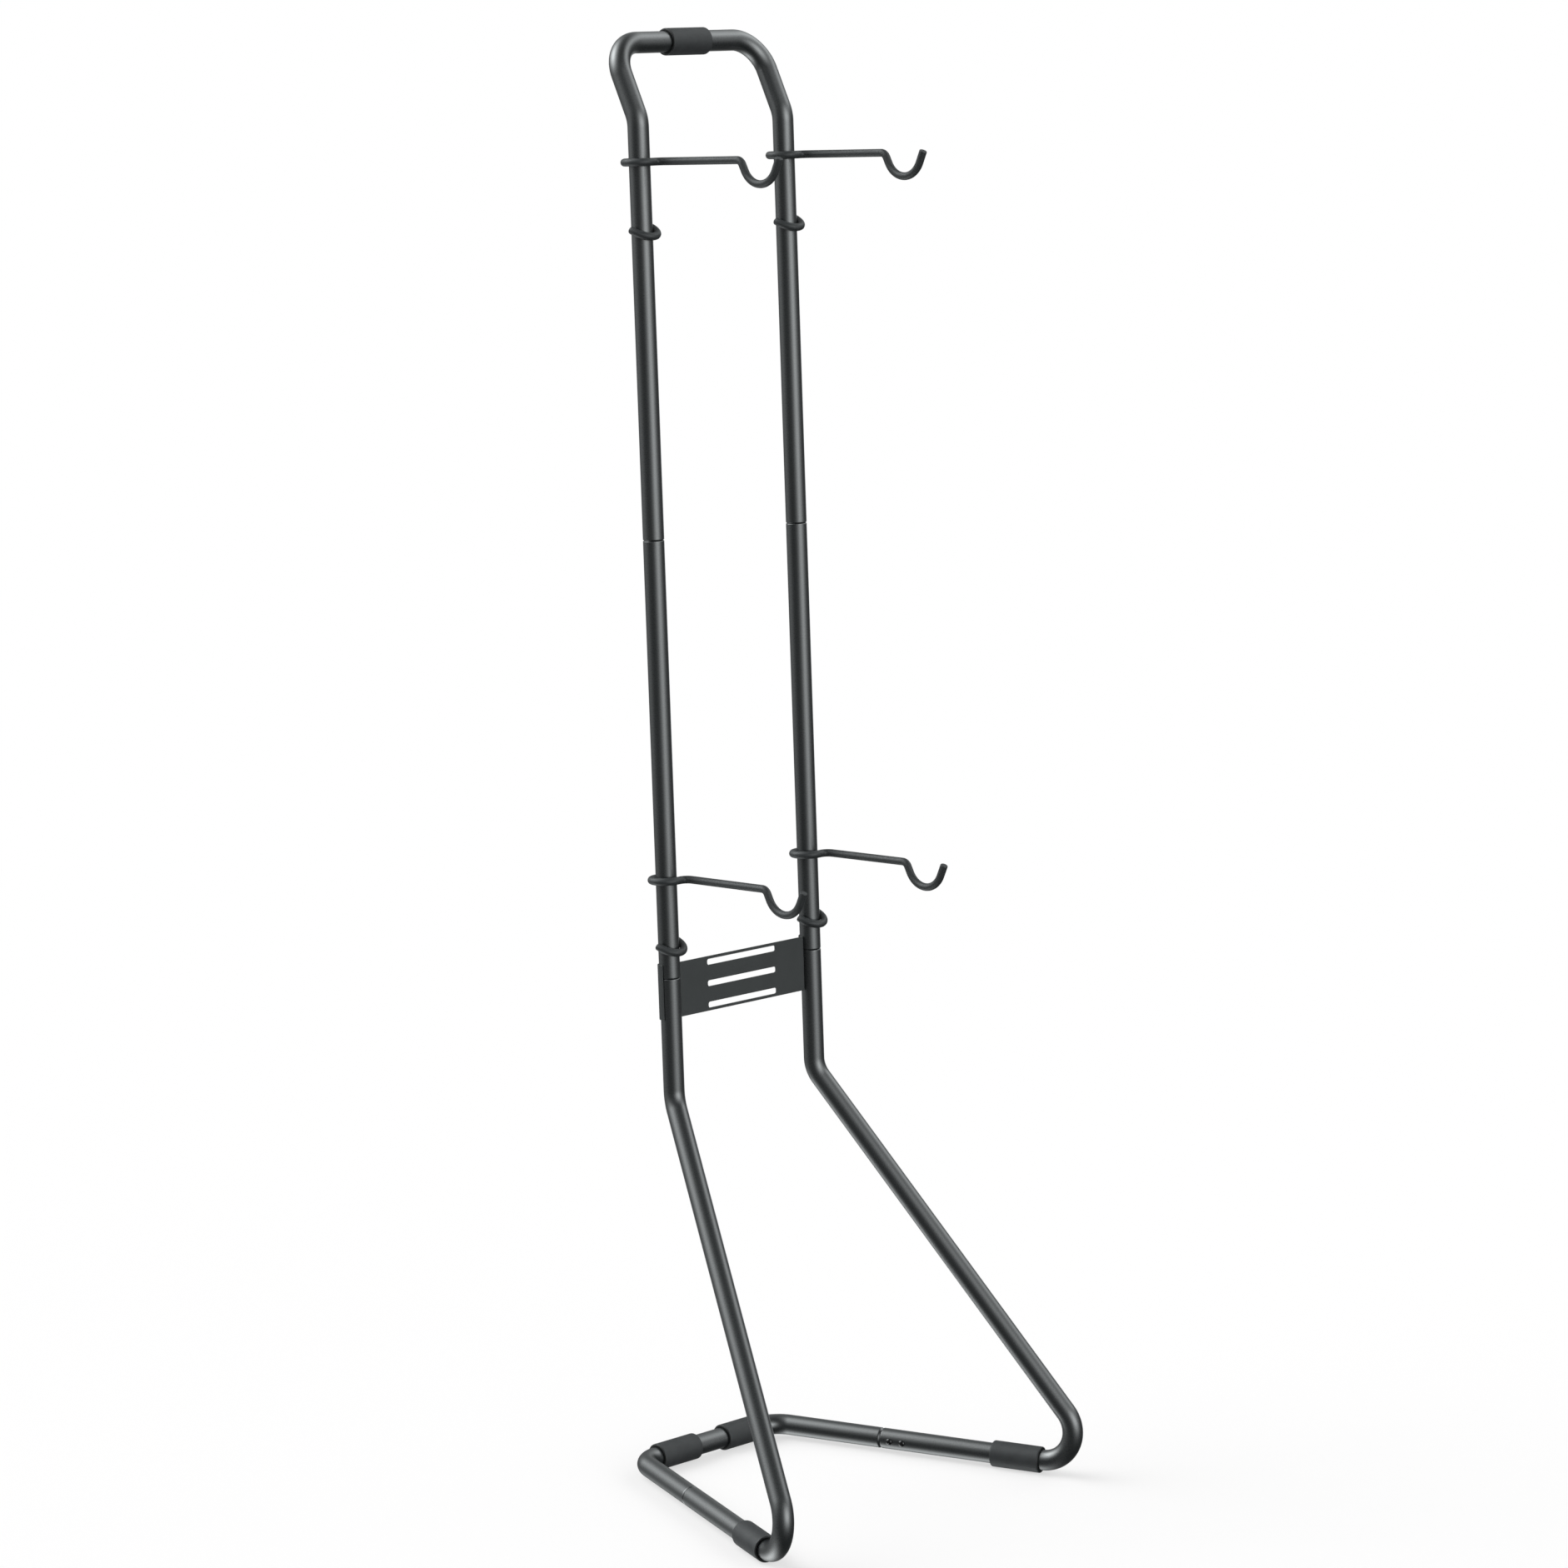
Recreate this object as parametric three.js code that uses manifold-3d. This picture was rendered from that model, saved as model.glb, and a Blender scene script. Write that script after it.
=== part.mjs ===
// Leaning bike storage tower: a bent tube frame in four bolted sections, a slotted brace
// plate between its poles, rod hooks that grip the poles by their own twist, and rubber
// sleeves where it stands on the floor and leans on the wall. Millimetres, +Z up,
// +Y towards the wall, +X to the right seen from the front.
import * as THREE from 'three';
import { mergeVertices } from 'three/addons/utils/BufferGeometryUtils.js';
import Module from 'manifold-3d';

// Frame tube, and the clearance that every fitted piece keeps
const tube_diameter = 30;
const tube_wall = 1.5;
const bend_radius = 48;
const rear_bend_radius = 42;
const spigot_length = 60;
const swage_length = 3;
const fit_gap = 0.3;

// Base loop, measured between the corners of the tube's axis
const base_depth = 502.3;
const base_rear_width = 268.6;
const base_front_width = 634.4;
const knee_rise = 554.2;
const knee_setout = 79.3;

// Poles, necks and top bar, measured on the tube's axis
const pole_spacing = 283.6;
const pole_rise = 1381.3;
const pole_recline = 65.3;
const neck_rise = 103.3;
const neck_recline = 53.9;

// Joints between the frame's sections: along a pole from its knee, and along a side bar
// from its rear corner
const lower_joint_rise = 178;
const upper_joint_rise = 800;
const side_joint_reach = 181;

// Rubber sleeves
const sleeve_diameter = 38.4;
const sleeve_length = 76;
const rear_sleeve_spacing = 132;
const sleeve_edge = 1.5;

// Brace plate
const plate_thickness = 1.5;
const plate_height = 79;
const plate_cover = 19;
const web_setout = 1;
const lip_setout = 2.5;
const slot_count = 3;
const slot_pitch = 31;
const slot_height = 8.4;
const slot_length = 136.5;
const slot_corner = 3;

// Hooks, each bent from one coated rod
const rod_diameter = 11;
const rod_bend_radius = 11;
const arm_offset = 19;
const arm_reach = 180.3;
const cradle_radius = 33;
const cradle_lean_deg = 26;
const tip_rise = 2;
const hook_drop = 92.5;
const run_turn_deg = 50;
const tail_turn_deg = -180;
const tail_tilt_deg = 25.5;
const lower_hook_rise = 318;
const upper_hook_rise = 1324.5;

// Button head screws and their insert nuts
const screw_diameter = 5;
const head_diameter = 9.5;
const head_height = 2.75;
const socket_width = 3;
const socket_depth = 1.6;
const nut_diameter = 9;
const nut_height = 4;
const screw_first = 15;
const screw_pitch = 20;
const plate_screw_inset = 10;

// Facet counts and angle steps
const tube_sides = 20;
const sleeve_sides = 32;
const rod_sides = 10;
const screw_sides = 12;
const socket_sides = 6;
const bend_step_deg = 15;

// Worked out from the sizes above
const radians = THREE.MathUtils.degToRad;
const tube_radius = tube_diameter / 2;
const bore_radius = tube_radius - tube_wall;
const tube_flat_share = Math.cos(Math.PI / tube_sides);
const step_flat_share = Math.cos(radians(bend_step_deg) / 2);
const spigot_radius = bore_radius * tube_flat_share - fit_gap;
const spigot_bore = spigot_radius - tube_wall;
const sleeve_radius = sleeve_diameter / 2;
const rod_radius = rod_diameter / 2;
const ring_radius = (tube_radius + fit_gap + rod_radius) / step_flat_share;
const saddle_bore = (tube_radius + fit_gap) / tube_flat_share;
const saddle_radius = saddle_bore + plate_thickness;
const hole_radius = screw_diameter / 2 + fit_gap;
const axis_height = sleeve_radius;

// Colours of the finishes
const powder_black = { color: 0x2b2d2e, roughness: 0.42, metalness: 0.3 };
const plate_black = { color: 0x303233, roughness: 0.5, metalness: 0.3 };
const coated_rod = { color: 0x363839, roughness: 0.6, metalness: 0 };
const rubber = { color: 0x3a3b3b, roughness: 0.8, metalness: 0 };
const black_zinc = { color: 0x141414, roughness: 0.25, metalness: 0.8 };
const plain_zinc = { color: 0xa8abad, roughness: 0.35, metalness: 0.9 };

// Corners of the frame's axis on one side: -1 is left and 1 is right
const corner = {
  top: (side) => new THREE.Vector3(
    (side * pole_spacing) / 2,
    neck_recline + pole_recline - knee_setout,
    axis_height + knee_rise + pole_rise + neck_rise,
  ),
  shoulder: (side) => new THREE.Vector3(
    (side * pole_spacing) / 2,
    pole_recline - knee_setout,
    axis_height + knee_rise + pole_rise,
  ),
  knee: (side) => new THREE.Vector3((side * pole_spacing) / 2, -knee_setout, axis_height + knee_rise),
  foot: (side) => new THREE.Vector3((side * base_front_width) / 2, -base_depth, axis_height),
  rear: (side) => new THREE.Vector3((side * base_rear_width) / 2, 0, axis_height),
};

// Directions that the poles share, and a place on a pole by its rise above the knee
const across = new THREE.Vector3(1, 0, 0);
const upright = new THREE.Vector3(0, 0, 1);
const pole_up = corner.shoulder(1).sub(corner.knee(1)).normalize();
const pole_back = new THREE.Vector3().crossVectors(pole_up, across);
const on_pole = (side, rise) => corner.knee(side).addScaledVector(pole_up, rise);

// Direction of a side bar from its rear corner, and a place on it
const bar_forward = (side) => corner.foot(side).sub(corner.rear(side)).normalize();
const on_bar = (side, reach) => corner.rear(side).addScaledVector(bar_forward(side), reach);
const bar_inward = (side) => new THREE.Vector3().crossVectors(bar_forward(side), upright).multiplyScalar(side);
const bar_length = corner.foot(1).distanceTo(corner.rear(1));

// A path through stations, with no points added between them
class Route extends THREE.Curve {
  constructor(stations) {
    super();
    this.stations = stations;
    this.last = stations.length - 1;
  }

  getPoint(share, target = new THREE.Vector3()) {
    const place = share * this.last;
    const from = Math.min(Math.floor(place), this.last - 1);
    return target.lerpVectors(this.stations[from], this.stations[from + 1], place - from);
  }

  getTangent(share, target = new THREE.Vector3()) {
    const at = Math.round(share * this.last);
    const here = this.stations[at];
    target.set(0, 0, 0);
    for (const [a, b] of [[at - 1, at], [at, at + 1]]) {
      if (a < 0 || b > this.last) continue;
      target.add(this.stations[b].clone().sub(this.stations[a]).normalize());
    }
    return target.lengthSq() > 0 ? target.normalize() : target.copy(here);
  }

  getPointAt(share, target) {
    return this.getPoint(share, target);
  }

  getTangentAt(share, target) {
    return this.getTangent(share, target);
  }

  // Matrix that takes +Y along the path at a station, with the sweep's own roll
  frame_at(at) {
    const frames = this.computeFrenetFrames(this.last, false);
    const basis = new THREE.Matrix4();
    basis.makeBasis(frames.binormals[at], frames.tangents[at], frames.normals[at]);
    return basis.setPosition(this.stations[at]);
  }
}

// Stations of a bend of the given radius round one corner
function bend(before, at, after, radius) {
  const to_before = before.clone().sub(at).normalize();
  const to_after = after.clone().sub(at).normalize();
  const inside = to_before.angleTo(to_after);
  const turn = Math.PI - inside;
  const tangent = radius / Math.tan(inside / 2);
  const start = at.clone().addScaledVector(to_before, tangent);
  const centre_way = to_before.clone().add(to_after).normalize();
  const centre = at.clone().addScaledVector(centre_way, radius / Math.sin(inside / 2));
  const axis = new THREE.Vector3().crossVectors(to_after, to_before).normalize();
  const steps = Math.max(2, Math.ceil(turn / radians(bend_step_deg)));
  const stations = [];
  for (let step = 0; step <= steps; step += 1) {
    const arm = start.clone().sub(centre).applyAxisAngle(axis, (turn * step) / steps);
    stations.push(centre.clone().add(arm));
  }
  return stations;
}

// Stations through corners, each rounded by its own radius; radius 0 keeps the point
function bent_stations(corners, radii) {
  const stations = [];
  corners.forEach((at, index) => {
    const ends_here = index === 0 || index === corners.length - 1;
    if (ends_here || !radii[index]) stations.push(at.clone());
    else stations.push(...bend(corners[index - 1], at, corners[index + 1], radii[index]));
  });
  return stations;
}

function circle(radius) {
  return new THREE.Shape().absarc(0, 0, radius, 0, 2 * Math.PI);
}

// Sweep of a round bar or, with a bore, of a tube along a route
function swept(route, radius, bore, sides) {
  const section = circle(radius);
  if (bore) section.holes.push(circle(bore));
  return new THREE.ExtrudeGeometry(section, {
    steps: route.last,
    curveSegments: sides / 2,
    extrudePath: route,
  });
}

// Body turned from a closed outline of [radius, place along +Y] points
function turned(outline, sides) {
  const points = [...outline, outline[0]].map(([radius, along]) => new THREE.Vector2(radius, along));
  return new THREE.LatheGeometry(points, sides);
}

const wasm = await Module();
wasm.setup();

// Closed mesh to solid, for joining and cutting
function solid(geometry) {
  const bare = geometry.clone();
  bare.deleteAttribute('normal');
  bare.deleteAttribute('uv');
  const merged = mergeVertices(bare);
  return new wasm.Manifold(new wasm.Mesh({
    numProp: 3,
    vertProperties: new Float32Array(merged.attributes.position.array),
    triVerts: new Uint32Array(merged.index.array),
  }));
}

function geometry_of(body) {
  const mesh = body.getMesh();
  const geometry = new THREE.BufferGeometry();
  geometry.setAttribute('position', new THREE.BufferAttribute(mesh.vertProperties, 3));
  geometry.setIndex(new THREE.BufferAttribute(mesh.triVerts, 1));
  return geometry;
}

// Matrix that takes +Y to one direction and +Z as near as it can to another
function facing(origin, along, towards) {
  const x = new THREE.Vector3().crossVectors(along, towards).normalize();
  const z = new THREE.Vector3().crossVectors(x, along).normalize();
  return new THREE.Matrix4().makeBasis(x, along.clone().normalize(), z).setPosition(origin);
}

// Swaged end of a tube: a cone down to the spigot that enters the next section.
// The next section's edge lies at the place 0 along +Y
function spigot() {
  const chamfer = tube_wall / 2;
  const root_share = 1 / 4;
  const root = -2 * swage_length;
  return turned([
    [bore_radius + tube_wall * root_share, root],
    [tube_radius - tube_wall * root_share, root],
    [tube_radius - tube_wall * root_share, -swage_length / 2],
    [spigot_radius, 0],
    [spigot_radius, spigot_length - chamfer],
    [spigot_radius - chamfer, spigot_length],
    [spigot_bore, spigot_length],
    [spigot_bore, 0],
  ], tube_sides);
}

// Hole for a screw, from the tube's axis out along one direction
function screw_hole(on_axis, outward, along) {
  const reach = saddle_radius + plate_thickness;
  const cut = new THREE.CylinderGeometry(hole_radius, hole_radius, reach, screw_sides);
  cut.translate(0, reach / 2, 0);
  return solid(cut.applyMatrix4(facing(on_axis, outward, along)));
}

// Tube section along a route, with a spigot at the ends asked for and its screw holes
function tube_section(stations, { spigot_first = false, spigot_last = false, holes = [] }) {
  const route = new Route(stations);
  let body = solid(swept(route, tube_radius, bore_radius, tube_sides));
  if (spigot_last) {
    const matrix = route.frame_at(route.last);
    body = body.add(solid(spigot().translate(0, swage_length, 0).applyMatrix4(matrix)));
  }
  if (spigot_first) {
    const backwards = new THREE.Matrix4().makeRotationX(Math.PI);
    const matrix = route.frame_at(0).multiply(backwards);
    body = body.add(solid(spigot().translate(0, swage_length, 0).applyMatrix4(matrix)));
  }
  for (const hole of holes) body = body.subtract(hole);
  return geometry_of(body);
}

// Places and directions of the screws that lock each joint
const joint_screw_steps = [screw_first, screw_first + screw_pitch];

function side_joint_screws(side) {
  return joint_screw_steps.map((step) => ({
    on_axis: on_bar(side, side_joint_reach + step),
    outward: bar_inward(side),
    along: bar_forward(side),
    seat: tube_radius,
    nut_seat: spigot_bore,
  }));
}

function upper_joint_screws(side) {
  return joint_screw_steps.map((step) => ({
    on_axis: on_pole(side, upper_joint_rise + step),
    outward: pole_back,
    along: pole_up,
    seat: tube_radius,
    nut_seat: spigot_bore,
  }));
}

const plate_top = lower_joint_rise + plate_cover;
const plate_middle = plate_top - plate_height / 2;

function plate_screws(side) {
  const above_joint = plate_top - plate_screw_inset;
  const below_joint = plate_top - plate_height + plate_screw_inset;
  return [above_joint, below_joint].map((rise) => ({
    on_axis: on_pole(side, rise),
    outward: pole_back,
    along: pole_up,
    seat: saddle_radius,
    nut_seat: rise > lower_joint_rise ? spigot_bore : bore_radius,
  }));
}

const holes_for = (screws) => screws.map(({ on_axis, outward, along }) => screw_hole(on_axis, outward, along));

// Top arch: both upper poles, their bends and the bar that carries the wall sleeve
function top_arch() {
  const corners = [
    on_pole(-1, upper_joint_rise), corner.shoulder(-1), corner.top(-1),
    corner.top(1), corner.shoulder(1), on_pole(1, upper_joint_rise),
  ];
  const radii = corners.map(() => bend_radius);
  return tube_section(bent_stations(corners, radii), {
    holes: [...holes_for(upper_joint_screws(-1)), ...holes_for(upper_joint_screws(1))],
  });
}

// Straight middle stretch of a pole, with its spigot at the top
function pole_middle(side) {
  const foot_end = on_pole(side, lower_joint_rise);
  const top_end = on_pole(side, upper_joint_rise - swage_length);
  return tube_section([foot_end, top_end], {
    spigot_last: true,
    holes: [...holes_for(upper_joint_screws(side)), ...holes_for(plate_screws(side).slice(0, 1))],
  });
}

// Leg: the foot of a pole, the knee, the slanted leg, the foot bend and the front of a side bar
function leg(side) {
  const corners = [
    on_bar(side, side_joint_reach), corner.foot(side), corner.knee(side),
    on_pole(side, lower_joint_rise - swage_length),
  ];
  const radii = corners.map(() => bend_radius);
  return tube_section(bent_stations(corners, radii), {
    spigot_last: true,
    holes: [...holes_for(side_joint_screws(side)), ...holes_for(plate_screws(side))],
  });
}

// Rear bar: the back of the base with both rear corners and a spigot at each end
function base_rear_bar() {
  const corners = [
    on_bar(-1, side_joint_reach - swage_length), corner.rear(-1),
    corner.rear(1), on_bar(1, side_joint_reach - swage_length),
  ];
  const radii = corners.map(() => rear_bend_radius);
  return tube_section(bent_stations(corners, radii), {
    spigot_first: true,
    spigot_last: true,
    holes: [...holes_for(side_joint_screws(-1)), ...holes_for(side_joint_screws(1))],
  });
}

// Rubber sleeve round a straight stretch; one of its flats faces the surface it meets
function sleeve(centre, along, towards) {
  const half_step = Math.PI / sleeve_sides;
  const flat = 1 / Math.cos(half_step);
  const outer = sleeve_radius * flat;
  const bore = (tube_radius + fit_gap) * flat;
  const half = sleeve_length / 2;
  const body = turned([
    [bore, -half],
    [outer - sleeve_edge, -half],
    [outer, sleeve_edge - half],
    [outer, half - sleeve_edge],
    [outer - sleeve_edge, half],
    [bore, half],
  ], sleeve_sides);
  return body.rotateY(half_step).applyMatrix4(facing(centre, along, towards));
}

// Reach of the foot bend along a side bar: the sleeve stops where the bend starts
function foot_bend_reach() {
  const to_knee = corner.knee(1).sub(corner.foot(1));
  const to_rear = corner.rear(1).sub(corner.foot(1));
  return bend_radius / Math.tan(to_knee.angleTo(to_rear) / 2);
}

const foot_sleeve_centre = bar_length - foot_bend_reach() - sleeve_length / 2 - fit_gap;

// Brace plate: one pressing, a flat web whose ends turn back round the rear of each pole
function brace_plate() {
  const pole_x = pole_spacing / 2;
  const web_back = plate_thickness - web_setout;
  const reach_at = (radius, setout) => Math.sqrt(radius ** 2 - setout ** 2);
  const dip_at = (radius, setout) => Math.asin(setout / radius);
  const outline = new THREE.Shape();
  outline.moveTo(reach_at(saddle_bore, web_setout) - pole_x, -web_setout);
  outline.lineTo(pole_x - reach_at(saddle_bore, web_setout), -web_setout);
  const bore_web = dip_at(saddle_bore, web_setout);
  const bore_lip = dip_at(saddle_bore, lip_setout);
  const back_lip = dip_at(saddle_radius, lip_setout);
  const back_web = dip_at(saddle_radius, web_back);
  outline.absarc(pole_x, 0, saddle_bore, Math.PI + bore_web, -bore_lip, true);
  outline.lineTo(pole_x + reach_at(saddle_radius, lip_setout), -lip_setout);
  outline.absarc(pole_x, 0, saddle_radius, -back_lip, Math.PI - back_web, false);
  outline.lineTo(reach_at(saddle_radius, web_back) - pole_x, web_back);
  outline.absarc(-pole_x, 0, saddle_radius, back_web, Math.PI + back_lip, false);
  outline.lineTo(-pole_x - reach_at(saddle_bore, lip_setout), -lip_setout);
  outline.absarc(-pole_x, 0, saddle_bore, Math.PI + bore_lip, -bore_web, true);
  const pressing = new THREE.ExtrudeGeometry(outline, {
    depth: plate_height,
    bevelEnabled: false,
    curveSegments: tube_sides / 2,
  });
  const stand_up = new THREE.Matrix4().makeBasis(across, pole_back, pole_up);
  const middle = on_pole(0, plate_middle);
  const foot_of_plate = on_pole(0, plate_middle - plate_height / 2);
  let body = solid(pressing.applyMatrix4(stand_up.clone().setPosition(foot_of_plate)));
  for (let slot = 0; slot < slot_count; slot += 1) {
    const rise = (slot - (slot_count - 1) / 2) * slot_pitch;
    body = body.subtract(solid(slot_cut().applyMatrix4(facing(
      middle.clone().addScaledVector(pole_up, rise), pole_back, pole_up,
    ))));
  }
  for (const side of [-1, 1]) {
    for (const hole of holes_for(plate_screws(side))) body = body.subtract(hole);
  }
  return geometry_of(body);
}

// Slot with rounded corners, as long along X and as high along Z as the plate's slots
function slot_cut() {
  const half_high = slot_height / 2 - slot_corner;
  const half_long = slot_length / 2 - slot_corner;
  const outline = new THREE.Shape();
  outline.moveTo(-half_long, -slot_height / 2);
  outline.absarc(half_long, -half_high, slot_corner, -Math.PI / 2, 0, false);
  outline.absarc(half_long, half_high, slot_corner, 0, Math.PI / 2, false);
  outline.absarc(-half_long, half_high, slot_corner, Math.PI / 2, Math.PI, false);
  outline.absarc(-half_long, -half_high, slot_corner, Math.PI, (3 * Math.PI) / 2, false);
  const reach = 4 * plate_thickness;
  const cut = new THREE.ExtrudeGeometry(outline, {
    depth: reach,
    bevelEnabled: false,
    curveSegments: screw_sides / 4,
  });
  return cut.translate(0, 0, -reach / 2).rotateX(Math.PI / 2);
}

// Stations of a hook about its pole: X right, Y back from the pole's axis, Z along it
function hook_stations() {
  const lean = radians(cradle_lean_deg);
  const leg_share = Math.tan(lean);
  const half_span = cradle_radius / Math.cos(lean);
  const cradle_reach = arm_reach + half_span;
  const cradle_corner = half_span / leg_share;
  const tip_reach = cradle_reach + half_span + tip_rise * leg_share;
  const arm_and_cradle = bent_stations([
    new THREE.Vector3(arm_offset, -tip_reach, tip_rise),
    new THREE.Vector3(arm_offset, -cradle_reach, -cradle_corner),
    new THREE.Vector3(arm_offset, -arm_reach, 0),
    new THREE.Vector3(arm_offset, -ring_radius, 0),
    new THREE.Vector3(0, -ring_radius, 0),
  ], [0, cradle_radius, rod_bend_radius, rod_bend_radius, 0]);
  return [...arm_and_cradle, ...grip_stations()];
}

// The twist that grips the pole, laid out flat as [turn about the pole, rise] and wrapped
function grip_stations() {
  const front_turn = radians(-90);
  const run_turn = radians(run_turn_deg) - 2 * Math.PI;
  const tail_turn = radians(tail_turn_deg) - 2 * Math.PI;
  const tilt_height = ring_radius * Math.tan(radians(tail_tilt_deg));
  const step = radians(bend_step_deg);
  const tail_rise = (turn) => tilt_height * Math.sin(turn) - hook_drop;
  const flat = (turn, rise) => new THREE.Vector3(turn * ring_radius, rise, 0);
  const corners = [flat(front_turn, 0), flat(run_turn, 0), flat(run_turn, tail_rise(run_turn))];
  const radii = [0, rod_bend_radius, rod_bend_radius];
  const tail_start = run_turn - 2 * step;
  const tail_steps = Math.ceil((tail_start - tail_turn) / step);
  for (let at = 0; at <= tail_steps; at += 1) {
    const turn = tail_start + ((tail_turn - tail_start) * at) / tail_steps;
    corners.push(flat(turn, tail_rise(turn)));
    radii.push(0);
  }
  const laid_flat = with_turns_split(bent_stations(corners, radii), step * ring_radius);
  return laid_flat.slice(1).map(({ x, y }) => new THREE.Vector3(
    ring_radius * Math.cos(x / ring_radius),
    ring_radius * Math.sin(x / ring_radius),
    y,
  ));
}

// Adds stations so that none of the steps round the pole is longer than asked
function with_turns_split(stations, longest) {
  const split = [stations[0]];
  for (let at = 1; at < stations.length; at += 1) {
    const from = stations[at - 1];
    const to = stations[at];
    const parts = Math.max(1, Math.ceil(Math.abs(to.x - from.x) / longest - Number.EPSILON));
    for (let part = 1; part <= parts; part += 1) split.push(from.clone().lerp(to, part / parts));
  }
  return split;
}

function hook(side, rise) {
  const matrix = new THREE.Matrix4().makeBasis(across, pole_back, pole_up);
  matrix.setPosition(on_pole(side, rise));
  return swept(new Route(hook_stations()), rod_radius, 0, rod_sides).applyMatrix4(matrix);
}

// Button head screw along +Y, its head's underside at 0 and its point inwards
function screw(length) {
  const dome_shares = [[0.98, 0.3], [0.85, 0.68], [0.6, 0.92]];
  const body = solid(turned([
    [0, -length],
    [screw_diameter / 2, -length],
    [screw_diameter / 2, 0],
    [head_diameter / 2, 0],
    ...dome_shares.map(([out, up]) => [(out * head_diameter) / 2, up * head_height]),
    [0, head_height],
  ], screw_sides));
  const corner_radius = socket_width / Math.sqrt(3);
  const socket = new THREE.CylinderGeometry(corner_radius, corner_radius, 2 * socket_depth, socket_sides);
  return geometry_of(body.subtract(solid(socket.translate(0, head_height, 0))));
}

// Insert nut along +Y, its outer face at 0
function nut() {
  return turned([
    [hole_radius, -nut_height],
    [nut_diameter / 2, -nut_height],
    [nut_diameter / 2, 0],
    [hole_radius, 0],
  ], screw_sides);
}

// A screw at its place, its head clear of the surface by the fit gap
function placed_screw({ on_axis, outward, along, seat, nut_seat }) {
  const under_head = on_axis.clone().addScaledVector(outward, seat + fit_gap);
  const length = seat + fit_gap - nut_seat + fit_gap + nut_height;
  return screw(length).applyMatrix4(facing(under_head, outward, along));
}

// The nut of a screw, seated behind the innermost wall that the screw passes
function placed_nut({ on_axis, outward, along, nut_seat }) {
  const half_chord = nut_diameter / 2;
  const flat_seat = Math.sqrt((nut_seat * tube_flat_share) ** 2 - half_chord ** 2) - fit_gap;
  const face = on_axis.clone().addScaledVector(outward, flat_seat);
  return nut().applyMatrix4(facing(face, outward, along));
}

const stand = new THREE.Group();

function add(name, geometry, finish) {
  const mesh = new THREE.Mesh(geometry, new THREE.MeshStandardMaterial(finish));
  mesh.name = name;
  stand.add(mesh);
}

const sides = [['left', -1], ['right', 1]];
const down = upright.clone().negate();
const wallward = new THREE.Vector3(0, 1, 0);

add('top_arch', top_arch(), powder_black);
add('base_rear_bar', base_rear_bar(), powder_black);
add('brace_plate', brace_plate(), plate_black);
const top_middle = corner.top(-1).lerp(corner.top(1), 1 / 2);
add('wall_sleeve', sleeve(top_middle, across, wallward), rubber);
for (const [name, side] of sides) {
  add(`pole_middle_${name}`, pole_middle(side), powder_black);
  add(`leg_${name}`, leg(side), powder_black);
  const rear_middle = new THREE.Vector3((side * rear_sleeve_spacing) / 2, 0, axis_height);
  add(`rear_sleeve_${name}`, sleeve(rear_middle, across, down), rubber);
  add(`foot_sleeve_${name}`, sleeve(on_bar(side, foot_sleeve_centre), bar_forward(side), down), rubber);
  add(`upper_hook_${name}`, hook(side, upper_hook_rise), coated_rod);
  add(`lower_hook_${name}`, hook(side, lower_hook_rise), coated_rod);
  const screwed = { side_joint: side_joint_screws, pole_joint: upper_joint_screws, plate: plate_screws };
  for (const [joint, places_on] of Object.entries(screwed)) {
    places_on(side).forEach((place, index) => {
      add(`${joint}_screw_${name}_${index + 1}`, placed_screw(place), black_zinc);
      add(`${joint}_nut_${name}_${index + 1}`, placed_nut(place), plain_zinc);
    });
  }
}

// Origin at the middle of the box round the stand, on the floor
const box = new THREE.Box3().setFromObject(stand);
const middle = box.getCenter(new THREE.Vector3());
stand.position.set(-middle.x, -middle.y, -box.min.z);

export default stand;
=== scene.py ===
# Leaning bicycle storage tower: powder coated tube frame in bolted sections, slotted brace
# plate, vinyl dipped rod hooks and foam rubber sleeves, on a pale studio floor.
import math

import bpy
from mathutils import Matrix, Vector


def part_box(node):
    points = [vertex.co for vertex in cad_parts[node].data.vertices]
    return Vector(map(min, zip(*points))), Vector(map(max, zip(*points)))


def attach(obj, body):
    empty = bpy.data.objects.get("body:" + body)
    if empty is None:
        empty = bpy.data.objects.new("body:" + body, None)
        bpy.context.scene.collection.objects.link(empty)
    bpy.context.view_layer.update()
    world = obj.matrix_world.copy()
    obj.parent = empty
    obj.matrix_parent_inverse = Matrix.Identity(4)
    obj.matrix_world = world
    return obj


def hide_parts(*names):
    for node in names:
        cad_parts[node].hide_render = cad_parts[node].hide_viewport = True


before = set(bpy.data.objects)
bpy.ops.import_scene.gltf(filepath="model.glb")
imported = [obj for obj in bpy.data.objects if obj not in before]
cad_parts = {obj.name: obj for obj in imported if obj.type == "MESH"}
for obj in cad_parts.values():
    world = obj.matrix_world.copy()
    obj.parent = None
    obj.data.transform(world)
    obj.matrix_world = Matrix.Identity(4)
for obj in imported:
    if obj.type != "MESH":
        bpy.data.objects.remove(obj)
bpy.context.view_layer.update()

# Sizes of the stand, in millimetres, the same as its solids have
MM = 0.001
TUBE_RADIUS = 15.0
TUBE_WALL = 1.5
BEND_RADIUS = 48.0
REAR_BEND_RADIUS = 42.0
FIT_GAP = 0.3
SPIGOT_LENGTH = 60.0
# width of the groove at each kind of joint, and how far the lip beside it is rolled
POLE_GROOVE = (2.0, 0.7)
SIDE_GROOVE = (4.5, 0.6)

SLEEVE_RADIUS = 19.2
SLEEVE_LENGTH = 76.0
SLEEVE_EDGE = 1.9
SLEEVE_SLACK = 0.05
# the bore flares this wide and this deep at each end, and the cut face is this much crowned
SLEEVE_MOUTH = 2.1
SLEEVE_MOUTH_DEPTH = 1.0
SLEEVE_CROWN = 0.06
REAR_SLEEVE_X = 66.0

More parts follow.
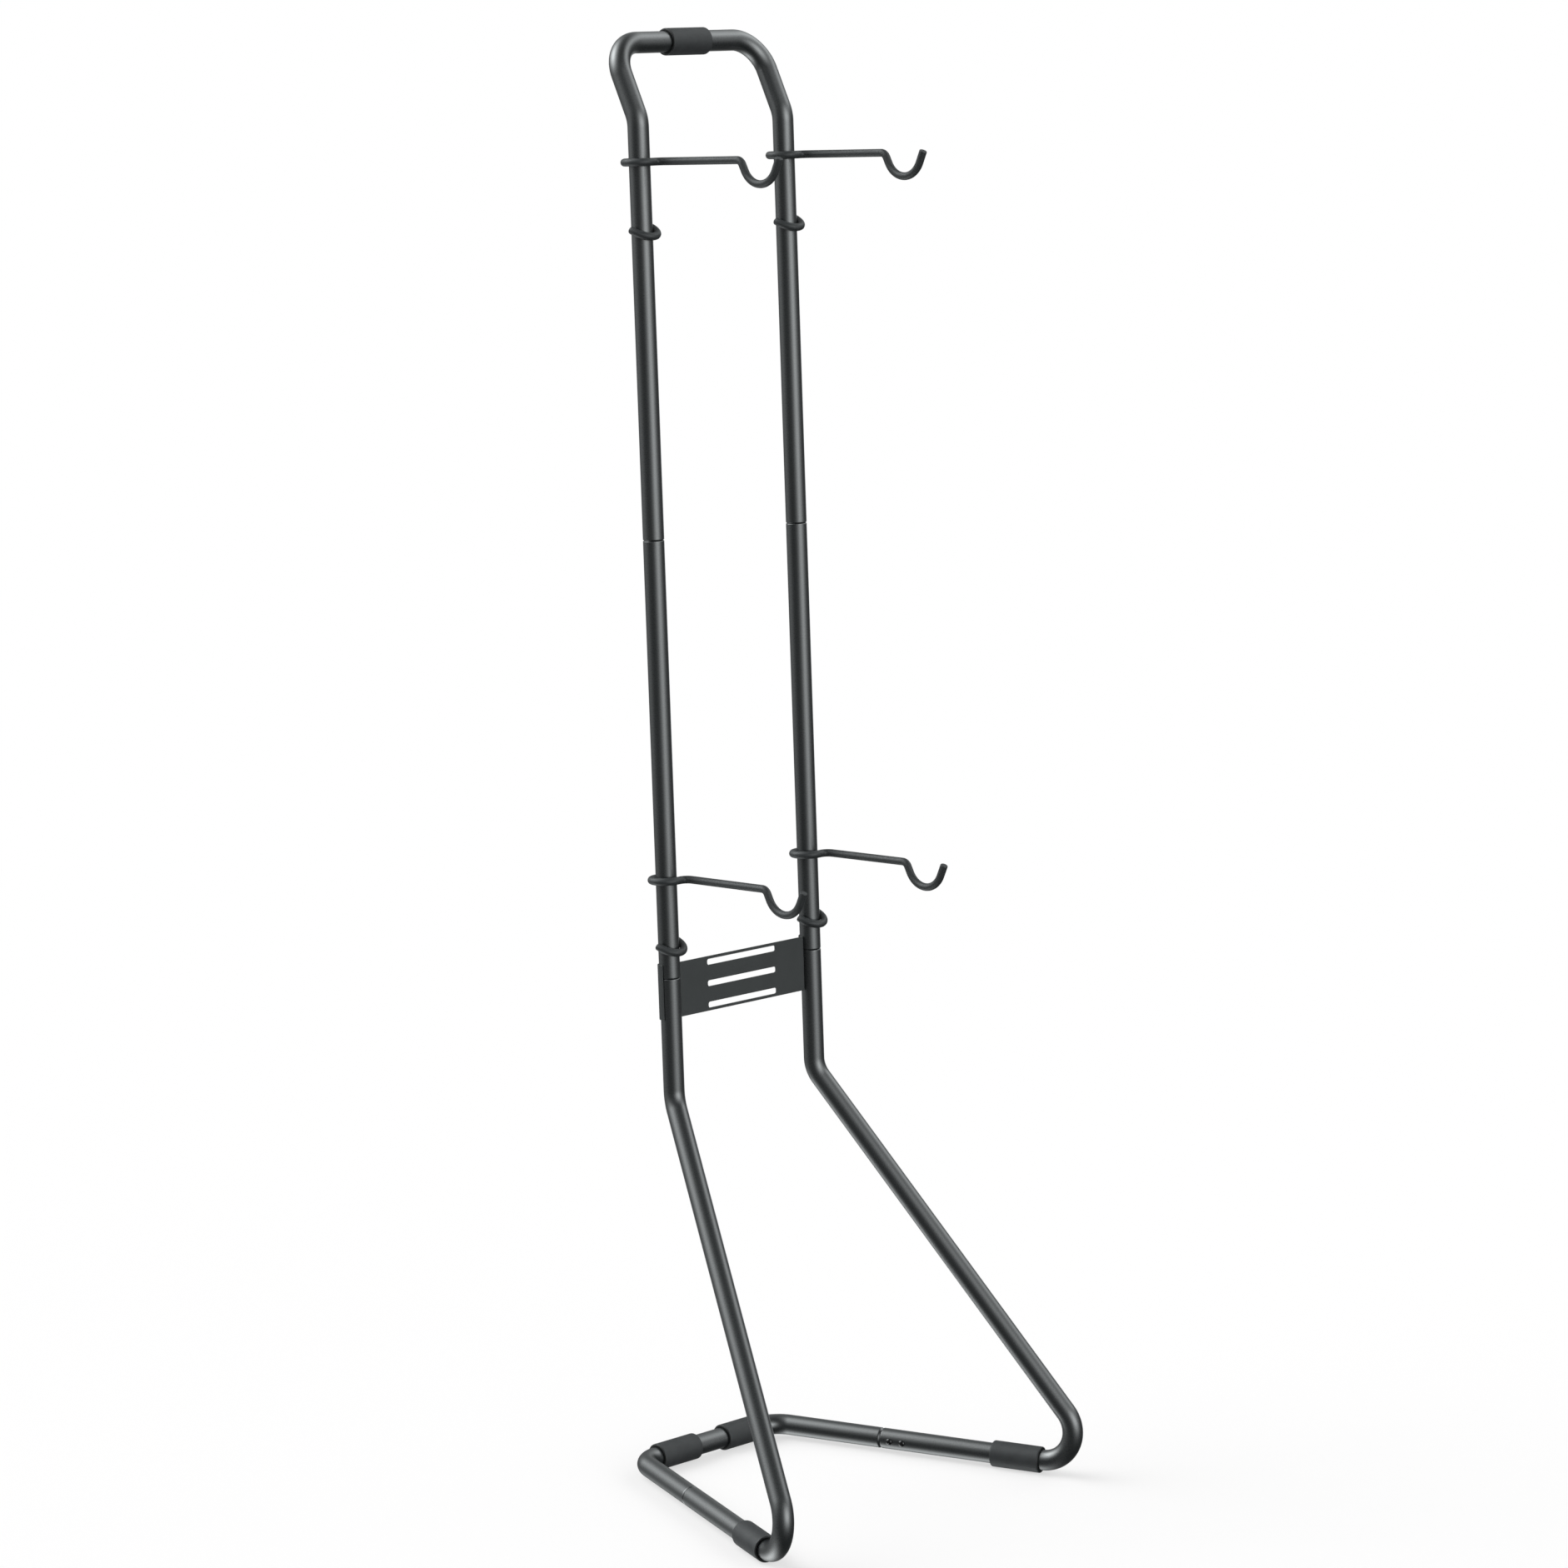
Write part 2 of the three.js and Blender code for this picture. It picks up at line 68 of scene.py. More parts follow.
BASE_DEPTH = 502.3
REAR_HALF = 134.3
FRONT_HALF = 317.2
KNEE_RISE = 554.2
KNEE_SETOUT = 79.3
POLE_HALF = 141.8
POLE_RISE = 1381.3
POLE_RECLINE = 65.3
NECK_RISE = 103.3
NECK_RECLINE = 53.9

LOWER_JOINT = 178.0
UPPER_JOINT = 800.0
SIDE_JOINT = 181.0
SCREW_STEPS = (15.0, 35.0)

PLATE_THICKNESS = 1.5
PLATE_HEIGHT = 79.0
PLATE_TOP = 197.0
PLATE_SCREW_INSET = 10.0
WEB_SETOUT = 1.0
LIP_SETOUT = 2.5
SLOT_COUNT = 3
SLOT_PITCH = 31.0
SLOT_HEIGHT = 8.4
SLOT_LENGTH = 136.5
SLOT_CORNER = 3.0
PLATE_EDGE = 0.35
PUNCH_DEPTH = 12.0

ROD_RADIUS = 5.5
ROD_EDGE = 1.3
ROD_BEND_RADIUS = 11.0
ARM_OFFSET = 19.0
ARM_REACH = 180.3
CRADLE_RADIUS = 33.0
CRADLE_LEAN = math.radians(26.0)
TIP_RISE = 2.0
HOOK_DROP = 92.5
RUN_TURN = math.radians(50.0)
TAIL_TURN = math.radians(-180.0)
TAIL_TILT = math.radians(25.5)
# turn past the run at which the bend into the tail has ended
TAIL_LEAD = math.radians(30.0)
HOOK_RISE = {"lower": 318.0, "upper": 1324.5}

SCREW_RADIUS = 2.5
SCREW_LENGTH = 8.0
PLATE_SCREW_LENGTH = 8.5
POINT_CHAMFER = 0.6
HEAD_RADIUS = 4.75
HEAD_HEIGHT = 2.75
# rolled rim of a head, ring by ring: how far in from its edge and how high
RIM_ROLL = ((0.25, 0.0), (0.05, 0.12), (0.0, 0.35))
# the dome has this many rings of a quarter turn cut in so many steps, and its sides are
# fuller than a ball's by this power
DOME_RINGS = 7
DOME_STEPS = 10
DOME_POWER = 0.8
SOCKET_WIDTH = 3.0
SOCKET_DEPTH = 1.6
SOCKET_CHAMFER = 0.16
SOCKET_CONE = 0.5
# degrees that the first socket of a kind is turned by, and how many more each next one is
FIRST_SOCKET_TURN = 23.0
SOCKET_TURN_STEP = 77.0

# facets, fine enough that no bend, rim or end looks faceted
TUBE_SIDES = 56
SLEEVE_SIDES = 96
ROD_SIDES = 32
SCREW_SIDES = 48
BEND_STEP = math.radians(3.0)
ROD_STEP = math.radians(5.0)
LIP_STEPS = 5
SWAGE_STEPS = 8
SLEEVE_EDGE_STEPS = 8
ROD_END_STEPS = 4
SADDLE_STEPS = 30
SLOT_CORNER_STEPS = 8
PLATE_EDGE_STEPS = 2
# a run longer than this gets a ring this far inside each of its ends
LONG_RUN = 6.0
RING_INSET = 0.8
# the cut face's painted shade, laid over its open cells, keeps its full dark over this many rings and
# fades over as many
CUT_RINGS = 3
# points closer than this are one point, and values closer than the next one are alike
WELD_DISTANCE = 0.01
ALIKE = 1e-6
# edges that turn by more degrees than this stay sharp
TUBE_CREASE = 50
PLATE_CREASE = 40
SCREW_CREASE = 35
# edges of the plate that turn by more degrees than this are pressed round
PLATE_EDGE_ANGLE = 50
# flats and steps of the solids' facets, which the fits between them allow for
SOLID_TUBE_SIDES = 20
SOLID_ROD_STEP = math.radians(15.0)

BORE_RADIUS = TUBE_RADIUS - TUBE_WALL
SPIGOT_RADIUS = BORE_RADIUS * math.cos(math.pi / SOLID_TUBE_SIDES) - FIT_GAP
GRIP_RADIUS = (TUBE_RADIUS + FIT_GAP + ROD_RADIUS) / math.cos(SOLID_ROD_STEP / 2)
SADDLE_BORE = (TUBE_RADIUS + FIT_GAP) / math.cos(math.pi / SOLID_TUBE_SIDES)
SADDLE_RADIUS = SADDLE_BORE + PLATE_THICKNESS
AXIS_HEIGHT = SLEEVE_RADIUS
SIDES = {"left": -1, "right": 1}

# the frame's origin is the middle of its box, so its rear bar lies behind it
rear_low, rear_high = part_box("rear_sleeve_left")
REAR_Y = (rear_low.y + rear_high.y) / 2 / MM


def place(x, y, z):
    """A point in millimetres from its distance across, behind the rear bar and up."""
    return Vector((x, y + REAR_Y, z))


# corners of the frame's axis on one side, where -1 is left and 1 is right
def top_corner(side):
    y = NECK_RECLINE + POLE_RECLINE - KNEE_SETOUT
    return place(side * POLE_HALF, y, AXIS_HEIGHT + KNEE_RISE + POLE_RISE + NECK_RISE)


def shoulder(side):
    return place(side * POLE_HALF, POLE_RECLINE - KNEE_SETOUT, AXIS_HEIGHT + KNEE_RISE + POLE_RISE)


def knee(side):
    return place(side * POLE_HALF, -KNEE_SETOUT, AXIS_HEIGHT + KNEE_RISE)


def foot(side):
    return place(side * FRONT_HALF, -BASE_DEPTH, AXIS_HEIGHT)


def rear(side):
    return place(side * REAR_HALF, 0, AXIS_HEIGHT)


ACROSS = Vector((1, 0, 0))
POLE_UP = (shoulder(1) - knee(1)).normalized()
POLE_BACK = POLE_UP.cross(ACROSS)


def on_pole(side, rise):
    return knee(side) + POLE_UP * rise


def bar_forward(side):
    return (foot(side) - rear(side)).normalized()


def on_bar(side, reach):
    return rear(side) + bar_forward(side) * reach


def bar_inward(side):
    return bar_forward(side).cross(Vector((0, 0, 1))) * side


# Small helpers
def link(obj):
    bpy.context.scene.collection.objects.link(obj)
    return obj


def linear(hex_colour):
    """Scene linear colour of an sRGB hex value."""
    parts = [int(hex_colour[i:i + 2], 16) / 255 for i in (0, 2, 4)]
    return [p / 12.92 if p <= 0.04045 else ((p + 0.055) / 1.055) ** 2.4 for p in parts] + [1.0]


def add(tree, kind, links=None, **settings):
    """Adds a node, sets its properties and its sockets, and links what feeds it."""
    node = tree.nodes.new(kind)
    for key, value in settings.items():
        setattr(node, key, value)
    for key, value in (links or {}).items():
        socket = node.inputs[key]
        if isinstance(value, bpy.types.NodeSocket):
            tree.links.new(value, socket)
        else:
            socket.default_value = value
    return node


def geometry_tree(name, inputs):
    """A new geometry tree with named inputs; gives the tree, its inputs and its end."""
    tree = bpy.data.node_groups.new(name, "GeometryNodeTree")
    tree.interface.new_socket("Geometry", in_out="INPUT", socket_type="NodeSocketGeometry")
    for label, kind, value in inputs:
        socket = tree.interface.new_socket(label, in_out="INPUT", socket_type=kind)
        if value is not None:
            socket.default_value = value
    tree.interface.new_socket("Geometry", in_out="OUTPUT", socket_type="NodeSocketGeometry")
    return tree, tree.nodes.new("NodeGroupInput").outputs, tree.nodes.new("NodeGroupOutput")


def shade_and_finish(tree, mesh, given, end, crease_deg):
    """Smooth faces with hard edges past an angle, then instances made real and a material."""
    angle = add(tree, "GeometryNodeInputMeshEdgeAngle").outputs["Unsigned Angle"]
    hard = add(tree, "FunctionNodeCompare", {
        0: angle, 1: math.radians(crease_deg),
    }, operation="GREATER_THAN")
    faces = add(tree, "GeometryNodeSetShadeSmooth", {
        "Geometry": mesh, "Shade Smooth": True,
    }, domain="FACE")
    edges = add(tree, "GeometryNodeSetShadeSmooth", {
        "Geometry": faces.outputs[0], "Selection": hard.outputs[0], "Shade Smooth": False,
    }, domain="EDGE")
    real = add(tree, "GeometryNodeRealizeInstances", {"Geometry": edges.outputs[0]})
    coat = add(tree, "GeometryNodeSetMaterial", {
        "Geometry": real.outputs[0], "Material": given["Material"],
    })
    tree.links.new(coat.outputs[0], end.inputs[0])


def grown(name, start_mesh, tree, values):
    """Runs a tree on a mesh and gives its result as a plain mesh object."""
    carrier = link(bpy.data.objects.new(name + "_start", start_mesh))
    modifier = carrier.modifiers.new("shape", "NODES")
    modifier.node_group = tree
    for item in tree.interface.items_tree:
        if item.in_out == "INPUT" and item.name in values:
            modifier[item.identifier] = values[item.name]
    graph = bpy.context.evaluated_depsgraph_get()
    mesh = bpy.data.meshes.new_from_object(carrier.evaluated_get(graph))
    bpy.data.objects.remove(carrier)
    mesh.name = name
    return link(bpy.data.objects.new(name, mesh))


# Paths
def bend(before, corner, after, radius, step):
    """Points of an arc that rounds a corner."""
    back, ahead = (before - corner).normalized(), (after - corner).normalized()
    inside = back.angle(ahead)
    turn = math.pi - inside
    first = corner + back * (radius / math.tan(inside / 2))
    centre = corner + (back + ahead).normalized() * (radius / math.sin(inside / 2))
    axis = ahead.cross(back).normalized()
    count = max(2, math.ceil(turn / step))
    return [
        centre + Matrix.Rotation(turn * k / count, 3, axis) @ (first - centre)
        for k in range(count + 1)
    ]


def rounded_path(corners, radii, step):
    """Points through corners, each rounded by its own radius; radius 0 keeps a corner."""
    points = [corners[0]]
    for before, corner, after, radius in zip(corners, corners[1:], corners[2:], radii[1:]):
        points += bend(before, corner, after, radius, step) if radius else [corner]
    return points + [corners[-1]]


def smooth_share(share):
    return share * share * (3 - 2 * share)


def quarter_turns(steps):
    """Angles of a quarter circle cut in equal steps, from none to a right angle."""
    return [math.pi / 2 * k / steps for k in range(steps + 1)]


def socket_end(groove):
    """Open end of a tube that takes the next one in: a wall with a softly rolled lip."""
    lip = groove[1]
    middle = TUBE_RADIUS - TUBE_WALL / 2
    rows = []
    for turn in quarter_turns(LIP_STEPS):
        half = TUBE_WALL / 2 * math.sin(turn)
        rows.append((lip * (1 - math.cos(turn)), middle + half, middle - half))
    return rows


def spigot_end(groove):
    """Swaged end: the spigot's tip, its length, and the shoulder up to the full tube."""
    swage = groove[0]
    spigot_bore = SPIGOT_RADIUS - TUBE_WALL
    middle = (SPIGOT_RADIUS + spigot_bore) / 2
    rows = [(0, middle, middle), (TUBE_WALL / 2, SPIGOT_RADIUS, spigot_bore)]
    for k in range(SWAGE_STEPS + 1):
        along = k / SWAGE_STEPS
        share = smooth_share(along)
        rows.append((
            SPIGOT_LENGTH + swage * along,
            SPIGOT_RADIUS + (TUBE_RADIUS - SPIGOT_RADIUS) * share,
            spigot_bore + (BORE_RADIUS - spigot_bore) * share,
        ))
    return rows


def with_ends(points, first_end, last_end, outer, bore):
    """Stations of a path: its points with a radius and a bore each, shaped at both ends."""
    ahead = (points[1] - points[0]).normalized()
    back = (points[-2] - points[-1]).normalized()
    rows = [(points[0] + ahead * run, *radii) for run, *radii in first_end]
    rows += [(point, outer, bore) for point in points[1:-1]]
    rows += [(points[-1] + back * run, *radii) for run, *radii in reversed(last_end)]
    return held_straight(rows)


def held_straight(rows):
    """Adds a ring just inside each end of a long straight run, so that the shading of the
    bend or lip beside it doesn't spread along the whole run."""
    held = [rows[0]]
    for before, after in zip(rows, rows[1:]):
        run = after[0] - before[0]
        if run.length > LONG_RUN and abs(before[1] - after[1]) < ALIKE:
            inset = run.normalized() * RING_INSET
            held += [(before[0] + inset, *before[1:]), (after[0] - inset, *after[1:])]
        held.append(after)
    return held


def station_mesh(name, rows, marks=None):
    """Polyline whose points carry the radius, the bore and, if given, one more value."""
    mesh = bpy.data.meshes.new(name)
    points = [tuple(point * MM) for point, _, _ in rows]
    mesh.from_pydata(points, [(k, k + 1) for k in range(len(rows) - 1)], [])
    fields = {
        "outer": [outer * MM for _, outer, _ in rows],
        "bore": [bore * MM for _, _, bore in rows],
    }
    if marks:
        fields["cut_face"] = marks
    for key, values in fields.items():
        mesh.attributes.new(key, "FLOAT", "POINT").data.foreach_set("value", values)
    return mesh


def sweep_tree(name, has_bore):
    """Round bar or walled tube swept along a polyline by the radius that each point carries."""
    tree, given, end = geometry_tree(name, [
        ("Sides", "NodeSocketInt", TUBE_SIDES),
        ("Weld Distance", "NodeSocketFloat", WELD_DISTANCE * MM),
        ("Material", "NodeSocketMaterial", None),
    ])
    curve = add(tree, "GeometryNodeMeshToCurve", {"Mesh": given["Geometry"]})
    level = add(tree, "GeometryNodeSetCurveNormal", {"Curve": curve.outputs[0]}, mode="MINIMUM_TWIST")
    ring = add(tree, "GeometryNodeCurvePrimitiveCircle", {
        "Resolution": given["Sides"], "Radius": 1.0,
    }, mode="RADIUS")
    skins = []
    for field in ("outer", "bore") if has_bore else ("outer",):
        radius = add(tree, "GeometryNodeInputNamedAttribute", {"Name": field}, data_type="FLOAT")
        skins.append(add(tree, "GeometryNodeCurveToMesh", {
            "Curve": level.outputs[0], "Profile Curve": ring.outputs[0],
            "Scale": radius.outputs[0], "Fill Caps": not has_bore,
        }).outputs[0])
    mesh = skins[0]
    if has_bore:
        inner = add(tree, "GeometryNodeFlipFaces", {"Mesh": skins[1]})
        both = add(tree, "GeometryNodeJoinGeometry")
        tree.links.new(inner.outputs[0], both.inputs[0])
        tree.links.new(skins[0], both.inputs[0])
        mesh = both.outputs[0]
    welded = add(tree, "GeometryNodeMergeByDistance", {
        "Geometry": mesh, "Distance": given["Weld Distance"],
    })
    shade_and_finish(tree, welded.outputs[0], given, end, TUBE_CREASE)
    return tree


# Materials
# range that most of a noise's values keep to
NOISE_LOW = 0.3
NOISE_HIGH = 0.7
# share of pale specks in the powder coat, where each stands out most
FLECK_SHARE = 0.12


def material(name, **sockets):
    """A material on one Principled shader, with its constant sockets set."""
    made = bpy.data.materials.new(name)
    made.use_nodes = True
    tree = made.node_tree
    shader = tree.nodes["Principled BSDF"]
    for key, value in sockets.items():
        shader.inputs[key.replace("_", " ")].default_value = value
    place_on = add(tree, "ShaderNodeTexCoord").outputs["Object"]
    return made, tree, shader, place_on


def grain(tree, where, size_mm, detail=2.0, roughness=0.5):
    """Noise whose features are about the given size across."""
    return add(tree, "ShaderNodeTexNoise", {
        "Vector": where, "Scale": 1 / (size_mm * MM), "Detail": detail, "Roughness": roughness,
    }).outputs["Fac"]


def spread(tree, value, low=0.0, high=1.0):
    """Maps most of a noise's values onto a range, and holds the rest at its ends."""
    return add(tree, "ShaderNodeMapRange", {
        "Value": value, "From Min": NOISE_LOW, "From Max": NOISE_HIGH, "To Min": low, "To Max": high,
    }).outputs[0]


def blend_colours(tree, share, first, second):
    # the colour sockets of this node are 6 and 7, and its colour output is 2
    mix = add(tree, "ShaderNodeMix", {0: share, 6: first, 7: second}, data_type="RGBA")
    return mix.outputs[2]


def cells(tree, where, size_mm):
    """Distance from the middle of each cell of foam, for cells of the given size."""
    return add(tree, "ShaderNodeTexVoronoi", {
        "Vector": where, "Scale": 1 / (size_mm * MM),
    }).outputs["Distance"]


def raised(tree, height, depth_mm, under=None, strength=1.0):
    """Bump of a pattern as high as the given depth, laid over another bump if there is one."""
    links = {"Height": height, "Distance": depth_mm * MM, "Strength": strength}
    if under is not None:
        links["Normal"] = under
    return add(tree, "ShaderNodeBump", links).outputs[0]


def powder_coat(name, base_hex, light_hex, rough, index, coat):
    """Satin polyester powder coat, sprayed and baked on steel: soft wide highlights over a
    faint orange peel, drawn 2.4 mm across so that it shows, and a fine tooth in the gloss."""
    made, tree, shader, where = material(
        name, IOR=index, Coat_Weight=coat, Coat_IOR=1.5, Coat_Roughness=rough,
    )
    pale_speck = linear("3a3c3d")
    cloud = spread(tree, grain(tree, where, size_mm=45, detail=3))
    speck = spread(tree, grain(tree, where, size_mm=0.7, detail=1))
    tone = blend_colours(tree, cloud, linear(base_hex), linear(light_hex))
    fleck = add(tree, "ShaderNodeMath", {0: speck, 1: FLECK_SHARE}, operation="MULTIPLY").outputs[0]
    tree.links.new(blend_colours(tree, fleck, tone, pale_speck), shader.inputs["Base Color"])
    gloss = spread(tree, grain(tree, where, size_mm=1.1), low=rough - 0.04, high=rough + 0.05)
    tree.links.new(gloss, shader.inputs["Roughness"])
    peel = raised(tree, grain(tree, where, size_mm=2.4, detail=1, roughness=0.4), depth_mm=0.035)
    tooth = raised(tree, grain(tree, where, size_mm=0.5, detail=1), depth_mm=0.004, under=peel)
    tree.links.new(tooth, shader.inputs["Normal"])
    tree.links.new(tooth, shader.inputs["Coat Normal"])
    return made


def vinyl_dip():
    """Steel rod dipped in black vinyl: a thick soft skin, duller than the frame, that flows
    a little before it sets, so its surface swells over some millimetres."""
    made, tree, shader, where = material("vinyl_dipped_steel", IOR=1.52)
    deep, pale = linear("232526"), linear("292b2c")
    cloud = spread(tree, grain(tree, where, size_mm=18))
    tree.links.new(blend_colours(tree, cloud, deep, pale), shader.inputs["Base Color"])
    gloss = spread(tree, grain(tree, where, size_mm=3), low=0.48, high=0.58)
    tree.links.new(gloss, shader.inputs["Roughness"])
    flow = raised(tree, grain(tree, where, size_mm=7, detail=1), depth_mm=0.06)
    skin = raised(tree, grain(tree, where, size_mm=0.8, detail=1), depth_mm=0.006, under=flow)
    tree.links.new(skin, shader.inputs["Normal"])
    return made


def foam_rubber():
    """Closed cell foam rubber sleeve, extruded and cut to length: a dead matt skin pitted by
    fine cells, and cut ends painted near black as shade over their open cells. Cells are
    drawn 0.9 mm across."""
    made, tree, shader, where = material("foam_rubber", IOR=1.45)
    # the near black of the cut ends is painted shade, laid over their open cells
    deep, pale, cut_end_painted_shade = linear("2b2c2d"), linear("333435"), linear("0d0e0e")
    cloud = spread(tree, grain(tree, where, size_mm=14, detail=3))
    skin = blend_colours(tree, cloud, deep, pale)
    cut = add(tree, "ShaderNodeAttribute", attribute_name="cut_face").outputs["Fac"]
    tree.links.new(blend_colours(tree, cut, skin, cut_end_painted_shade), shader.inputs["Base Color"])
    fine_cells = cells(tree, where, size_mm=0.9)
    tree.links.new(spread(tree, fine_cells, low=0.5, high=0.6), shader.inputs["Roughness"])
    fine = raised(tree, fine_cells, depth_mm=0.09)
    pores = raised(tree, cells(tree, where, size_mm=2.3), depth_mm=0.12, under=fine, strength=0.5)
    tree.links.new(pores, shader.inputs["Normal"])
    return made


def black_zinc():
    """Black passivated zinc on a steel screw, under a clear sealer: nearly black glossy metal,
    darker than the tube round it, with small bright glints on the dome and the socket's edges."""
    made, tree, shader, where = material(
        "black_zinc_steel", Metallic=1.0, Coat_Weight=1.0, Coat_IOR=1.56, Coat_Roughness=0.16,
    )
    deep, pale = linear("0a0a0b"), linear("111112")
    cloud = spread(tree, grain(tree, where, size_mm=1.5))
    tree.links.new(blend_colours(tree, cloud, deep, pale), shader.inputs["Base Color"])
    gloss = spread(tree, grain(tree, where, size_mm=0.6), low=0.2, high=0.28)
    tree.links.new(gloss, shader.inputs["Roughness"])
    uneven = raised(tree, grain(tree, where, size_mm=0.5), depth_mm=0.004)
    tree.links.new(uneven, shader.inputs["Normal"])
    tree.links.new(uneven, shader.inputs["Coat Normal"])
    return made


def bright_zinc():
    """Bright zinc on a steel insert nut: pale blue grey metal with soft spangle."""
    made, tree, shader, where = material("bright_zinc_steel", Metallic=1.0)
    deep, pale = linear("9a9da0"), linear("b4b6b8")
    cloud = spread(tree, grain(tree, where, size_mm=2))
    tree.links.new(blend_colours(tree, cloud, deep, pale), shader.inputs["Base Color"])
    gloss = spread(tree, grain(tree, where, size_mm=0.8), low=0.3, high=0.42)
    tree.links.new(gloss, shader.inputs["Roughness"])
    return made


TUBE_COAT = powder_coat(
    "powder_coated_steel_tube", base_hex="0e1112", light_hex="131617", rough=0.29, index=1.7, coat=1.0,
)
PLATE_COAT = powder_coat(
    "powder_coated_steel_sheet", base_hex="2d2f2f", light_hex="323434", rough=0.4, index=1.5, coat=0.0,
)
ROD_COAT = vinyl_dip()
FOAM = foam_rubber()
SCREW_ZINC = black_zinc()
NUT_ZINC = bright_zinc()

WALLED = sweep_tree("swept_tube", True)
SOLID = sweep_tree("swept_rod", False)


def fit(piece, body, slot, *nodes):
    """Puts a piece on its body and hides the frame nodes that it stands for; its finish slot is not used.
    """
    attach(piece, body)
    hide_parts(*nodes)
    return piece


# Frame tubes
def tube(name, corners, first_end, last_end, radius=BEND_RADIUS):
    path = rounded_path(corners, [radius] * len(corners), BEND_STEP)
    rows = with_ends(path, first_end, last_end, TUBE_RADIUS, BORE_RADIUS)
    return grown(name, station_mesh(name, rows), WALLED, {"Sides": TUBE_SIDES, "Material": TUBE_COAT})


fit(tube("arch_tube", [
    on_pole(-1, UPPER_JOINT), shoulder(-1), top_corner(-1),
    top_corner(1), shoulder(1), on_pole(1, UPPER_JOINT),
], socket_end(POLE_GROOVE), socket_end(POLE_GROOVE)), "frame", "powder_coat", "top_arch")

SPIGOT_REACH = SIDE_JOINT + SPIGOT_LENGTH
rear_corners = [on_bar(-1, SPIGOT_REACH), rear(-1), rear(1), on_bar(1, SPIGOT_REACH)]
rear_bar = tube(
    "rear_bar_tube", rear_corners, spigot_end(SIDE_GROOVE), spigot_end(SIDE_GROOVE), REAR_BEND_RADIUS,
)
fit(rear_bar, "frame", "powder_coat", "base_rear_bar")

for name, side in SIDES.items():
    fit(tube(f"pole_tube_{name}", [
        on_pole(side, LOWER_JOINT), on_pole(side, UPPER_JOINT + SPIGOT_LENGTH),
    ], socket_end(POLE_GROOVE), spigot_end(POLE_GROOVE)), "frame", "powder_coat", f"pole_middle_{name}")
    fit(tube(f"leg_tube_{name}", [
        on_bar(side, SIDE_JOINT), foot(side), knee(side), on_pole(side, LOWER_JOINT + SPIGOT_LENGTH),
    ], socket_end(SIDE_GROOVE), spigot_end(POLE_GROOVE)), "frame", "powder_coat", f"leg_{name}")


# Foam sleeves
def sleeve(name, centre, along, node):
    """Foam tube with rolled edges; its cut ends are marked for their painted shade over the open cells.
    """
    bore = TUBE_RADIUS + SLEEVE_SLACK
    face = SLEEVE_RADIUS - SLEEVE_EDGE
    tip = bore + SLEEVE_MOUTH
    ring = [(0.0, tip, tip, 1.0)]
    for k, turn in enumerate(quarter_turns(SLEEVE_EDGE_STEPS)):
        run = SLEEVE_CROWN + SLEEVE_EDGE * (1 - math.cos(turn))
        mouth = SLEEVE_MOUTH * (1 - min(1.0, run / SLEEVE_MOUTH_DEPTH)) ** 2
        # share of the painted shade on the cut end at this ring
        end_shade_share = min(1.0, max(0.0, 2 - k / CUT_RINGS))
        ring.append((run, face + SLEEVE_EDGE * math.sin(turn), bore + mouth, end_shade_share))
    ring.append((SLEEVE_EDGE + RING_INSET, SLEEVE_RADIUS, bore, 0.0))
    half = SLEEVE_LENGTH / 2
    rows = [(centre + along * (run - half), outer, inner) for run, outer, inner, _ in ring]
    rows += [(centre + along * (half - run), outer, inner) for run, outer, inner, _ in reversed(ring)]
    marks = [mark for *_, mark in ring]
    marks += reversed(marks)
    stations = station_mesh(name, rows, marks)
    piece = grown(name, stations, WALLED, {"Sides": SLEEVE_SIDES, "Material": FOAM})
    fit(piece, "frame", "rubber_foam", node)


foot_angle = (knee(1) - foot(1)).angle(rear(1) - foot(1))
foot_bend_reach = BEND_RADIUS / math.tan(foot_angle / 2)
FOOT_SLEEVE_REACH = (foot(1) - rear(1)).length - foot_bend_reach - SLEEVE_LENGTH / 2 - FIT_GAP

sleeve("wall_foam", (top_corner(-1) + top_corner(1)) / 2, ACROSS, "wall_sleeve")
for name, side in SIDES.items():
    rear_middle = place(side * REAR_SLEEVE_X, 0, AXIS_HEIGHT)
    sleeve(f"rear_foam_{name}", rear_middle, ACROSS, f"rear_sleeve_{name}")
    sleeve(f"foot_foam_{name}", on_bar(side, FOOT_SLEEVE_REACH), bar_forward(side), f"foot_sleeve_{name}")


# Rod hooks
def grip_points():
    """The twist round a pole, laid out flat as turn and rise and then wrapped round it."""
    run_turn = RUN_TURN - 2 * math.pi
    tail_turn = TAIL_TURN - 2 * math.pi
    tilt = GRIP_RADIUS * math.tan(TAIL_TILT)

    def flat(turn, rise):
        return Vector((turn * GRIP_RADIUS, rise, 0))

    def tail_rise(turn):
        return tilt * math.sin(turn) - HOOK_DROP

    corners = [flat(-math.pi / 2, 0), flat(run_turn, 0), flat(run_turn, tail_rise(run_turn))]
    radii = [0, ROD_BEND_RADIUS, ROD_BEND_RADIUS]
    tail_start = run_turn - TAIL_LEAD
    count = math.ceil((tail_start - tail_turn) / ROD_STEP)
    for k in range(count + 1):
        turn = tail_start + (tail_turn - tail_start) * k / count
        corners.append(flat(turn, tail_rise(turn)))
        radii.append(0)
    laid = rounded_path(corners, radii, ROD_STEP)
    split = [laid[0]]
    for before, after in zip(laid, laid[1:]):
        parts = max(1, math.ceil(abs(after.x - before.x) / GRIP_RADIUS / ROD_STEP - ALIKE))
        split += [before.lerp(after, k / parts) for k in range(1, parts + 1)]

    def wrapped(point):
        turn = point.x / GRIP_RADIUS
        return Vector((GRIP_RADIUS * math.cos(turn), GRIP_RADIUS * math.sin(turn), point.y))

    return [wrapped(point) for point in split[1:]]


